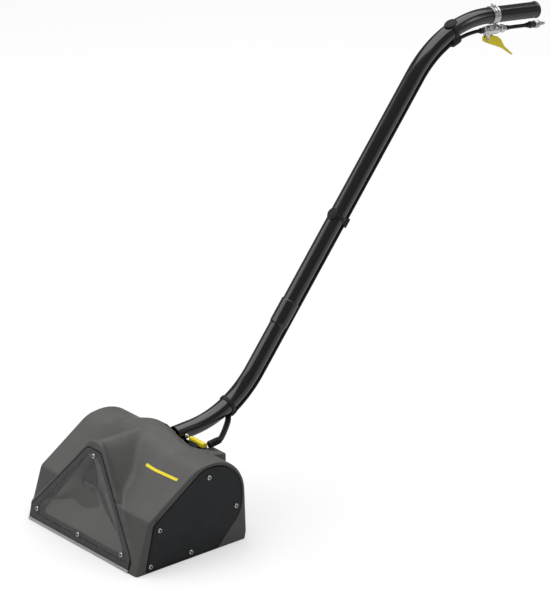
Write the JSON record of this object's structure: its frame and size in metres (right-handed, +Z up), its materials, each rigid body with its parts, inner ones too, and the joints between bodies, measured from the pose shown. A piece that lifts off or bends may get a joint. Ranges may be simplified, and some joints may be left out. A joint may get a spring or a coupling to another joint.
{
  "type": "powered carpet-washing brush head",
  "caption": "Powered carpet-washing brush head with a clear suction window, on a cane-shaped wand with a spray valve.",
  "frame": {"origin": "middle of the machine's footprint, on the floor", "axes": "+Y from the head's front edge back to the end of the handle, +X across the head, +Z up"},
  "size_m": [0.3396, 1.1642, 0.8489],
  "materials": {
    "moulded_grey": "warm grey textured moulding",
    "cover_black": "satin near-black moulding",
    "black_enamel": "glossy black enamel",
    "smoky_clear": "smoky clear plastic",
    "rubber_black": "black rubber",
    "chrome": "bright chrome",
    "steel": "zinc plated steel",
    "signal_yellow": "bright yellow plastic",
    "inner_plastic": "dark plastic",
    "bristle_blue": "blue nylon bristles",
    "brass": "drawn brass",
    "lip_pale": "pale grey plastic"
  },
  "bodies": {
    "head": {"housing": "moulded_grey", "cover_left": "cover_black", "cover_left_screw_1": "steel", "cover_left_screw_2": "steel", "cover_right": "cover_black", "cover_right_screw_1": "steel", "cover_right_screw_2": "steel", "cover_right_screw_3": "steel", "cover_right_screw_4": "steel", "cover_right_screw_5": "steel", "window": "smoky_clear", "window_seal": "rubber_black", "window_screw_foot": "steel", "window_screw_left": "steel", "window_screw_right": "steel", "window_screw_top": "steel", "front_lip": "lip_pale", "suction_funnel": "moulded_grey", "suction_duct": "lip_pale", "brush_bearing_left": "steel", "brush_bearing_right": "steel", "motor_body": "steel", "drive_belt": "rubber_black", "belt_bulkhead": "steel", "brush_hood": "inner_plastic", "spray_bar": "brass", "spray_nozzle_1": "brass", "spray_nozzle_2": "brass", "rear_block": "moulded_grey", "cable_boot": "rubber_black", "pedal_pin": "steel", "power_lead_bridge": "rubber_black", "spray_hose_bridge": "rubber_black"},
    "brush": {"brush_core": "inner_plastic", "brush_bristles": "bristle_blue", "brush_pulley": "inner_plastic"},
    "rotor": {"motor_shaft": "steel", "motor_pulley": "inner_plastic"},
    "wand": {"wand_knuckle": "black_enamel", "wand_bolt": "chrome", "lower_tube": "black_enamel", "upper_tube": "black_enamel", "cord_clip_lower": "rubber_black", "cord_clip_middle": "rubber_black", "cord_clip_upper": "rubber_black", "hose_clamp": "steel", "clamp_screw": "steel", "spray_valve": "chrome", "hose_nut": "black_enamel", "lever_pin": "steel", "inlet_stub": "rubber_black", "coupler_body": "black_enamel", "coupler_nipple": "steel", "spray_hose": "rubber_black", "power_lead": "rubber_black", "lead_plug": "rubber_black"},
    "pedal": {"tilt_pedal": "signal_yellow"},
    "lever": {"spray_lever": "signal_yellow"},
    "plunger": {"valve_plunger": "steel"},
    "collar": {"coupler_collar": "steel"}
  },
  "joints": [
    {"name": "brush_spin", "type": "hinge", "parent": "head", "child": "brush", "pos_m": [0, -0.47973, 0.039], "axis": [1, 0, 0], "continuous": true},
    {"name": "motor_spin", "type": "hinge", "parent": "head", "child": "rotor", "pos_m": [0, -0.39373, 0.096], "axis": [1, 0, 0], "continuous": true},
    {"name": "wand_tilt", "type": "hinge", "parent": "head", "child": "wand", "pos_m": [0, -0.37473, 0.1651], "axis": [1, 0, 0], "range_deg": [-3, 12], "deforming": ["power_lead_bridge", "spray_hose_bridge"]},
    {"name": "pedal_press", "type": "hinge", "parent": "head", "child": "pedal", "pos_m": [0, -0.34573, 0.147], "axis": [-1, 0, 0], "range_deg": [0, 4], "stiffness_Nm_per_rad": 4, "springref_deg": -8.59},
    {"name": "lever_squeeze", "type": "hinge", "parent": "wand", "child": "lever", "pos_m": [0, 0.42871, 0.77894], "axis": [1, 0, 0], "range_deg": [0, 10], "stiffness_Nm_per_rad": 1, "springref_deg": -8.59},
    {"name": "plunger_push", "type": "slide", "parent": "wand", "child": "plunger", "axis": [0, 0.1246, 0.9922], "range_m": [0, 0.0026]},
    {"name": "collar_pull", "type": "slide", "parent": "wand", "child": "collar", "axis": [0, -0.9922, 0.1246], "range_m": [0, 0.0055], "stiffness_N_per_m": 400, "springref_m": -0.003}
  ],
  "couplings": [
    {"joint": "motor_spin", "follows": "brush_spin", "ratio": 1.5714},
    {"joint": "plunger_push", "follows": "lever_squeeze", "m_per_rad": 0.0146}
  ]
}
